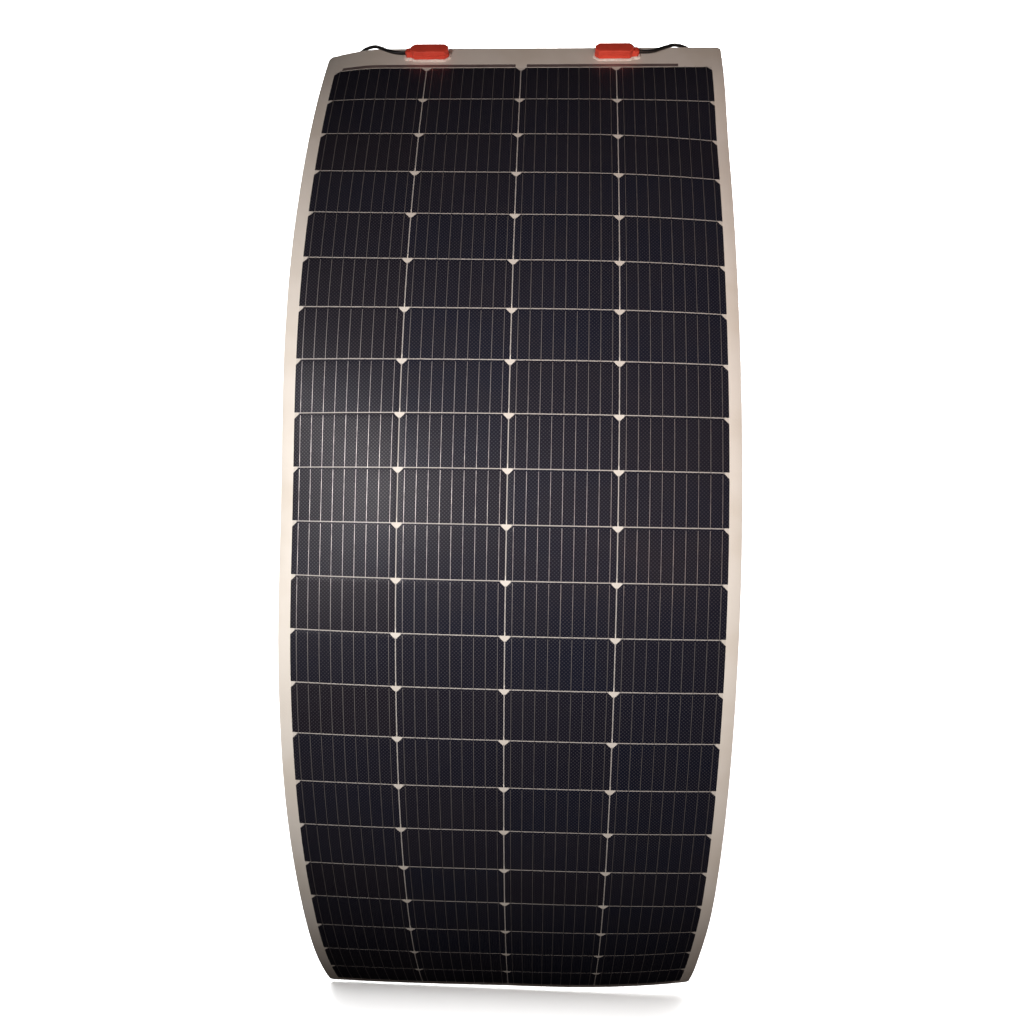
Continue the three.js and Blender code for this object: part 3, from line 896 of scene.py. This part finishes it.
def make_laminate():
    """The laminate in spans from mid-row to mid-row, each across one joint, and two ends."""
    top = Solids()
    top.add_sheet_loft(end_sections(-TOP_STRIP, 1, ROW_PITCH / 2))
    make_piece("laminate_top", top, laminate_white, "row_01", ["back_sheet_01"])
    bottom = Solids()
    foot = ROWS * ROW_PITCH + BOTTOM_STRIP
    bottom.add_sheet_loft(end_sections(foot, -1, (ROWS - 0.5) * ROW_PITCH))
    make_piece("laminate_bottom", bottom, laminate_white, "row_22", ["back_sheet_22"])
    outline = laminate_outline(SHEET_WIDTH / 2, 0)
    for row in range(1, ROWS):
        hinge = row * ROW_PITCH
        span = Solids()
        places = stations(hinge - ROW_PITCH / 2, hinge + ROW_PITCH / 2)
        span.add_sheet_loft([(s, outline) for s in places])
        nodes = [f"back_sheet_{row:02d}", f"back_sheet_{row + 1:02d}"]
        name = f"laminate_{row:02d}_{row + 1:02d}"
        piece = make_piece(name, span, laminate_white, None, nodes)
        start = on_sheet(0, hinge - BEND_REACH, THICKNESS / 2)
        end = on_sheet(0, hinge + BEND_REACH, THICKNESS / 2)
        if row < HELD_ROW:
            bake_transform(piece)
        else:
            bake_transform(piece)


make_laminate()

# ---- cells and ribbons -----------------------------------------------


def raised_outline(middle, half, foot, top, shoulder, steps=1):
    """Cross-section of something flat with softened upper edges, its faces divided into steps."""
    flat = half - shoulder
    across = [2 * i / steps - 1 for i in range(steps + 1)]
    left = [(middle - half, foot), (middle - half, top - shoulder * SHOULDER_SLOPE)]
    upper = [(middle + flat * t, top) for t in across]
    right = [(middle + half, top - shoulder * SHOULDER_SLOPE), (middle + half, foot)]
    lower = [(middle + half * t, foot) for t in reversed(across[1:-1])]
    return left + upper + right + lower


def cell_tone(row, column):
    """How brown a cell is, from 0 to 1 and the same in each run, more so at the top and on the left."""
    warmth = 0.25 if row < 3 or column == 0 else 0.0
    return min(1.0, 0.75 * noise.random_unit_vector()[0] ** 2 + warmth)


def cell_sections(row, middle):
    """Sections of a half-cut cell down its row, narrowed at its clipped upper corners."""
    start = (row - 1) * ROW_PITCH + CELL_GAP / 2
    end = start + CELL_HEIGHT
    places = [start, start + CELL_SHOULDER, *stations(start + CELL_CLIP, end - CELL_SHOULDER), end]
    sections = []
    for s in places:
        half = CELL_WIDTH / 2 - max(CELL_CLIP - (s - start), 0)
        at_end = s in (start, end)
        top = CELL_TOP - (CELL_SHOULDER * SHOULDER_SLOPE if at_end else 0)
        outline = raised_outline(middle, half, CELL_FOOT, top, CELL_SHOULDER, CELL_STEPS)
        sections.append((s, outline))
    return sections


def column_middle(column):
    """The x of a column's middle."""
    return (column - (COLUMNS - 1) / 2) * COLUMN_PITCH


def make_cells(row):
    """A row's four cells."""
    solids = Solids()
    for column in range(COLUMNS):
        solids.add_sheet_loft(cell_sections(row, column_middle(column)), cell_tone(row, column))
    name = f"cells_row_{row:02d}"
    nodes = [f"cell_row_{row:02d}"]
    make_piece(name, solids, cell_silicon, f"row_{row:02d}", nodes, sharp=50)


def make_ribbons(row):
    """The soldered ribbons on a row's cells, each running on under the next row's upper edge."""
    top = (row - 1) * ROW_PITCH
    start = top + RIBBON_START if row > 1 else -BUS_FROM_ROW - RIBBON_PAST_ROW
    past = RIBBON_PAST_ROW if row < ROWS else BUS_FROM_ROW + RIBBON_PAST_ROW
    end = top + ROW_PITCH + past
    solids = Solids()
    for column in range(COLUMNS):
        for k in range(RIBBONS):
            middle = column_middle(column) + (k - (RIBBONS - 1) / 2) * RIBBON_PITCH
            outline = raised_outline(
                middle, RIBBON_WIDTH / 2, RIBBON_FOOT, RIBBON_TOP, RIBBON_SHOULDER
            )
            solids.add_sheet_loft([(s, outline) for s in stations(start, end)])
    name = f"ribbons_row_{row:02d}"
    nodes = [f"cell_row_{row:02d}"]
    make_piece(name, solids, ribbon_tinned, f"row_{row:02d}", nodes)


TONE_SEED = 22
noise.seed_set(TONE_SEED)
for row in range(1, ROWS + 1):
    make_cells(row)
    make_ribbons(row)

# ---- bus strips ------------------------------------------------------


def flat_bar(solids, x0, x1, s0, s1, foot, top):
    """A flat bar from x0 to x1 across the sheet and from s0 to s1 down it."""
    steps = max(round((x1 - x0) / ACROSS_STEP), 1)
    outline = raised_outline((x0 + x1) / 2, (x1 - x0) / 2, foot, top, RIBBON_SHOULDER, steps)
    solids.add_sheet_loft([(s, outline) for s in (s0, s1)])


def make_bus_strip(side):
    """A top bus strip, its tab under the film up to the junction box, and the lug inside the box."""
    sign = SIDES[side]
    solids = Solids()
    low = -BUS_FROM_ROW
    ends = sorted((sign * BUS_INNER_X, sign * BUS_OUTER_X[side]))
    flat_bar(solids, *ends, low - BUS_WIDTH, low, RIBBON_FOOT, BUS_TOP)
    tab = sorted((sign * BOX_X - BUS_TAB_WIDTH / 2, sign * BOX_X + BUS_TAB_WIDTH / 2))
    lug_top = BUS_TAB_FOOT + BUS_LUG_HEIGHT
    flat_bar(solids, *tab, BOX_S, low - BUS_TAB_GAP, BUS_TAB_FOOT, BUS_TAB_TOP)
    flat_bar(solids, *tab, BOX_S, BOX_S + BUS_LUG_THICKNESS, BUS_TAB_FOOT, lug_top)
    nodes = [f"bus_strip_{side}"]
    make_piece(f"bus_strip_{side}_piece", solids, bus_tinned, "row_01", nodes)


for side in SIDES:
    make_bus_strip(side)

bottom_bus = Solids()
bus_half = COLUMNS / 2 * COLUMN_PITCH - BOTTOM_BUS_INSET
bus_start = ROWS * ROW_PITCH + BUS_FROM_ROW
flat_bar(bottom_bus, -bus_half, bus_half, bus_start, bus_start + BUS_WIDTH, RIBBON_FOOT, BUS_TOP)
make_piece("bus_strip_bottom", bottom_bus, bus_tinned, "row_22")

# ---- junction boxes --------------------------------------------------


def box_corners(margin):
    """The box's eight-cornered outline about its middle, grown by a margin."""
    end = BOX_LENGTH / 2 + margin
    side = BOX_DEPTH / 2 + margin
    cut = BOX_CORNER + margin * (2 - math.sqrt(2))
    return [
        (-end, -side + cut), (-end + cut, -side), (end - cut, -side), (end, -side + cut),
        (end, side - cut), (end - cut, side), (-end + cut, side), (-end, side - cut),
    ]


def rounded(corners, radius, steps=4):
    """An outline with each corner replaced by a short smooth curve."""
    outline = []
    for i, corner in enumerate(corners):
        before = Vector(corners[i - 1])
        here = Vector(corner)
        after = Vector(corners[(i + 1) % len(corners)])
        start = here + (before - here).normalized() * radius
        end = here + (after - here).normalized() * radius
        for k in range(steps + 1):
            t = k / steps
            outline.append(start * (1 - t) ** 2 + here * 2 * t * (1 - t) + end * t**2)
    return outline


def box_ring(side, height, margin):
    """A ring round the box at a height above its seat, in mm, grown by a margin in mm."""
    middle = SIDES[side] * BOX_X
    arris = max(BOX_ARRIS + margin * MM * ARRIS_GROWTH, LEAST_ARRIS)
    outline = rounded(box_corners(margin * MM), arris)
    return [on_sheet(middle + u, BOX_S - v, BOX_SEAT + height * MM) for u, v in outline]


def neck_corners(margin):
    """The neck's outline, its root inside the box, grown by a margin but at its root."""
    root = (BOX_LENGTH - BOX_CORNER) / 2
    tip = BOX_LENGTH / 2 + NECK_LENGTH + margin
    half = NECK_WIDTH / 2 + margin
    cut = NECK_CORNER
    return [
        (root, -half), (tip - cut, -half), (tip, cut - half),
        (tip, half - cut), (tip - cut, half), (root, half),
    ]


def neck_ring(side, height, margin):
    """A ring round the neck at a height above its seat, in mm, grown by a margin in mm."""
    sign = SIDES[side]
    outline = rounded(neck_corners(margin * MM), NECK_ARRIS)
    return [on_sheet(sign * (BOX_X + u), BOX_S - v, BOX_SEAT + height * MM) for u, v in outline]


def foot_corners(margin):
    """The outline of a box with its neck, grown by a margin, neck towards +x."""
    box = box_corners(margin)
    half = NECK_WIDTH / 2 + margin
    end, shoulder = box[4]
    root = end - (half - shoulder)
    upper = [*neck_corners(margin)[3:5], (root, half), *box[5:]]
    lower = [(x, -y) for x, y in reversed(upper)]
    return lower + upper


# Height above the seat and margin, both in mm, from the underside out, up and down into the hollow.
BASE_LEVELS = [
    (-0.3, 0.9), (0.6, 0.9), (0.9, 0.6), (1.1, 0.15), (1.4, 0.0), (6.6, -0.15), (7.2, -0.3),
    (7.45, -0.6), (7.5, -1.0), (7.5, -1.7), (7.2, -2.0), (1.5, -2.1),
]
LID_LEVELS = [
    (14.2, -3.2), (14.1, -2.6), (13.6, -2.2), (8.0, -2.1), (7.8, -2.0), (7.8, -0.6), (8.0, -0.15),
    (8.35, 0.0), (14.3, -0.25), (14.8, -0.35), (15.3, -0.7), (15.7, -1.15), (15.93, -1.7), (16.0, -2.4),
]
NECK_LEVELS = [
    (-0.3, 0.4), (0.8, 0.3), (1.1, 0.0), (10.2, -0.15), (10.8, -0.3), (11.2, -0.7), (11.45, -1.2),
    (11.5, -1.8),
]
# Distance from the box's middle along the neck and radius, both in mm.
COLLAR_PROFILE = [(42.0, 4.3), (43.3, 4.3), (43.6, 4.1), (43.7, 3.7), (43.6, 3.3), (43.3, 3.1)]
COLLAR_SIDES = 40


def make_box(side):
    """A junction box: its base, its lid, and the neck and collar that its cable comes out of."""
    sign = SIDES[side]
    base = Solids()
    base.add_rings([box_ring(side, *level) for level in BASE_LEVELS])
    base_node = f"junction_box_base_{side}"
    make_piece(f"junction_box_{side}_base", base, box_red, "row_01", [base_node])
    lid = Solids()
    lid.add_rings([box_ring(side, *level) for level in LID_LEVELS])
    lid_node = f"junction_box_lid_{side}"
    make_piece(f"junction_box_{side}_lid", lid, box_red, "row_01", [lid_node])
    middle = on_sheet(sign * BOX_X, BOX_S, BOX_SEAT + NECK_AXIS_HEIGHT)
    neck = Solids()
    neck.add_rings([neck_ring(side, *level) for level in NECK_LEVELS])
    collar = [(along * MM, radius * MM, 0) for along, radius in COLLAR_PROFILE]
    neck.add_rings(lathe_rings(collar, middle, (sign, 0, 0), (0, 0, 1), COLLAR_SIDES))
    make_piece(f"cable_entry_{side}", neck, box_red, "row_01", [base_node])


BEAD_STEPS = 260
BEAD_SIDES = 10
BEAD_MARGIN = 1.3 * MM
NECK_SWELL_FROM = 4 * MM
NECK_SWELL_OVER = 7 * MM
BEAD_SINK = 0.2 * MM
# in mm
BEAD_WIDTH = 2.5
BEAD_HEIGHT = 3.0
BEAD_LUMP = 0.6
BEAD_RIPPLE = 0.2
BEAD_WIDER_AT_NECK = 0.8
BEAD_HIGHER_AT_NECK = 0.4
LUMPS_PER_METRE = 90
RIPPLES_PER_METRE = 400


def make_bead(side):
    """Hand-run silicone round the foot of a box and its neck, uneven, and thicker round the neck."""
    sign = SIDES[side]
    loop = rounded(foot_corners(BEAD_MARGIN), BOX_ARRIS, 6)
    spaced = resample_loop(loop, BEAD_STEPS)
    rings = []
    for i, point in enumerate(spaced):
        ahead = spaced[(i + 1) % BEAD_STEPS] - spaced[i - 1]
        outward = Vector((ahead.y, -ahead.x)).normalized()
        at_neck = min(max((point.x - BOX_LENGTH / 2 + NECK_SWELL_FROM) / NECK_SWELL_OVER, 0), 1)
        x, y = sign * point.x, point.y
        lump = noise.noise(Vector((x * LUMPS_PER_METRE + sign * 7, y * LUMPS_PER_METRE, 1.5)))
        ripple = noise.noise(Vector((x * RIPPLES_PER_METRE, y * RIPPLES_PER_METRE, 4.2)))
        uneven = BEAD_LUMP * lump + BEAD_RIPPLE * ripple
        width = (BEAD_WIDTH + uneven + BEAD_WIDER_AT_NECK * at_neck) * MM
        height = (BEAD_HEIGHT + uneven + BEAD_HIGHER_AT_NECK * at_neck) * MM
        ring = []
        for j in range(BEAD_SIDES):
            angle = 2 * math.pi * j / BEAD_SIDES
            at = point + outward * width * math.cos(angle)
            n = FILM_TOP + max(height * math.sin(angle), -BEAD_SINK)
            ring.append(on_sheet(sign * (BOX_X + at.x), BOX_S - at.y, n))
        rings.append(ring)
    solids = Solids()
    solids.add_rings(rings, closed=True)
    nodes = [f"sealant_bead_{side}"]
    make_piece(f"sealant_{side}", solids, silicone, "row_01", nodes, sharp=80)


def resample_loop(loop, count):
    """The same closed outline with evenly spaced points."""
    lengths = [0.0]
    for i, point in enumerate(loop):
        lengths.append(lengths[-1] + (loop[(i + 1) % len(loop)] - point).length)
    spaced = []
    leg = 0
    for i in range(count):
        target = lengths[-1] * i / count
        while lengths[leg + 1] < target:
            leg += 1
        share = (target - lengths[leg]) / (lengths[leg + 1] - lengths[leg])
        spaced.append(loop[leg].lerp(loop[(leg + 1) % len(loop)], share))
    return spaced


for side in SIDES:
    make_box(side)
    make_bead(side)
    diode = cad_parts[f"bypass_diode_{side}"]
    diode.data.materials.clear()
    diode.data.materials.append(diode_epoxy)

# ---- studio ----------------------------------------------------------

FLOOR_GAP = 5 * MM
FLOOR_Z = cad_low.z - FLOOR_GAP
FLOOR_HALF = 5.0
BACKDROP_Y = 2.4
SWEEP_RADIUS = 0.8
BACKDROP_TOP = 4.5
SWEEP_STEPS = 12


def studio_material():
    nodes = Nodes("studio_paper", Specular_IOR_Level=0.1)
    nodes.shader.inputs["Roughness"].default_value = 0.9
    tint = nodes.noise(nodes.object_place(), 2.0)
    pale = (0.90, 0.90, 0.90, 1)
    shade = (0.88, 0.88, 0.88, 1)
    nodes.colour(nodes.mix(nodes.ramp(tint, 0.3, 0.7), pale, shade))
    return nodes.material


def make_studio():
    """A pale floor that sweeps up into a backdrop."""
    profile = [(-FLOOR_HALF, FLOOR_Z)]
    for angle in quarter(SWEEP_STEPS):
        y = BACKDROP_Y - SWEEP_RADIUS + SWEEP_RADIUS * math.sin(angle)
        profile.append((y, FLOOR_Z + SWEEP_RADIUS * (1 - math.cos(angle))))
    profile.append((BACKDROP_Y, BACKDROP_TOP))
    points = [(x, y, z) for y, z in profile for x in (-FLOOR_HALF, FLOOR_HALF)]
    faces = [(2 * i, 2 * i + 1, 2 * i + 3, 2 * i + 2) for i in range(len(profile) - 1)]
    mesh = bpy.data.meshes.new("studio_sweep")
    mesh.from_pydata(points, [], faces)
    mesh.shade_smooth()
    mesh.materials.append(studio_material())
    sweep = bpy.data.objects.new("studio_sweep", mesh)
    bpy.context.collection.objects.link(sweep)
    return sweep


def area_light(name, place, aim, size, watts, colour, spread=180, only_on=None):
    """A soft box at a place, aimed at a point; only_on is the one object that it shines on."""
    light = bpy.data.lights.new(name, "AREA")
    light.shape = "RECTANGLE"
    light.size, light.size_y = size
    light.energy = watts
    light.color = colour
    light.spread = math.radians(spread)
    lamp = bpy.data.objects.new(name, light)
    lamp.location = place
    lamp.rotation_euler = (Vector(aim) - Vector(place)).to_track_quat("-Z", "Y").to_euler()
    lamp.visible_camera = False
    if only_on:
        lit = bpy.data.collections.new(name + "_lights")
        lit.objects.link(only_on)
        lamp.light_linking.receiver_collection = lit
    bpy.context.collection.objects.link(lamp)
    return lamp


sweep = make_studio()
sweep.visible_diffuse = False
sweep.visible_glossy = False

# the key and the fill light the white film; the sheen and the low light show in the cells' gloss
WHITE = (1.0, 1.0, 1.0)
key = area_light(
    "key", place=(-0.68, -1.9, 0.16), aim=(0.0, 0.05, 0.165), size=(0.5, 0.4),
    watts=5.8, colour=(1.0, 0.94, 0.87), spread=56,
)
key.visible_glossy = False
fill = area_light(
    "fill", place=(1.35, -1.5, -0.1), aim=(0.3, 0.1, -0.1), size=(0.6, 0.6),
    watts=2.6, colour=(1.0, 0.72, 0.58), spread=120,
)
fill.visible_glossy = False
area_light(
    "low", place=(0.45, -1.7, 0.0), aim=(0.1, 0.33, 0.95), size=(0.5, 0.4),
    watts=0.8, colour=(1.0, 0.68, 0.56), spread=46,
)
sheen = area_light(
    "sheen", place=(-1.05, -1.9, 0.55), aim=(0.0, 0.05, 0.1), size=(0.6, 0.5),
    watts=7.0, colour=(1.0, 0.95, 0.95), spread=120,
)
sheen.visible_diffuse = False
area_light(
    "rear", place=(0.3, 2.2, 1.3), aim=(0.0, 0.3, 0.1), size=(1.6, 1.6),
    watts=30, colour=WHITE, spread=120,
)
area_light(
    "backdrop_front", place=(0.0, -2.5, 3.5), aim=(0.0, 1.0, -0.3), size=(5.0, 3.0),
    watts=520, colour=WHITE, only_on=sweep,
)
area_light(
    "backdrop_back", place=(0.0, 1.0, 3.0), aim=(0.0, 1.9, -0.3), size=(5.0, 1.0),
    watts=260, colour=WHITE, only_on=sweep,
)

# a plain pale surround that the sheet neither mirrors nor is lit by
world = bpy.data.worlds.new("world")
bpy.context.scene.world = world
world.use_nodes = True
background = world.node_tree.nodes["Background"]
background.inputs["Color"].default_value = (*WHITE, 1)
background.inputs["Strength"].default_value = 1.0
world.cycles_visibility.diffuse = False
world.cycles_visibility.glossy = False
bpy.context.scene.view_settings.view_transform = "Standard"
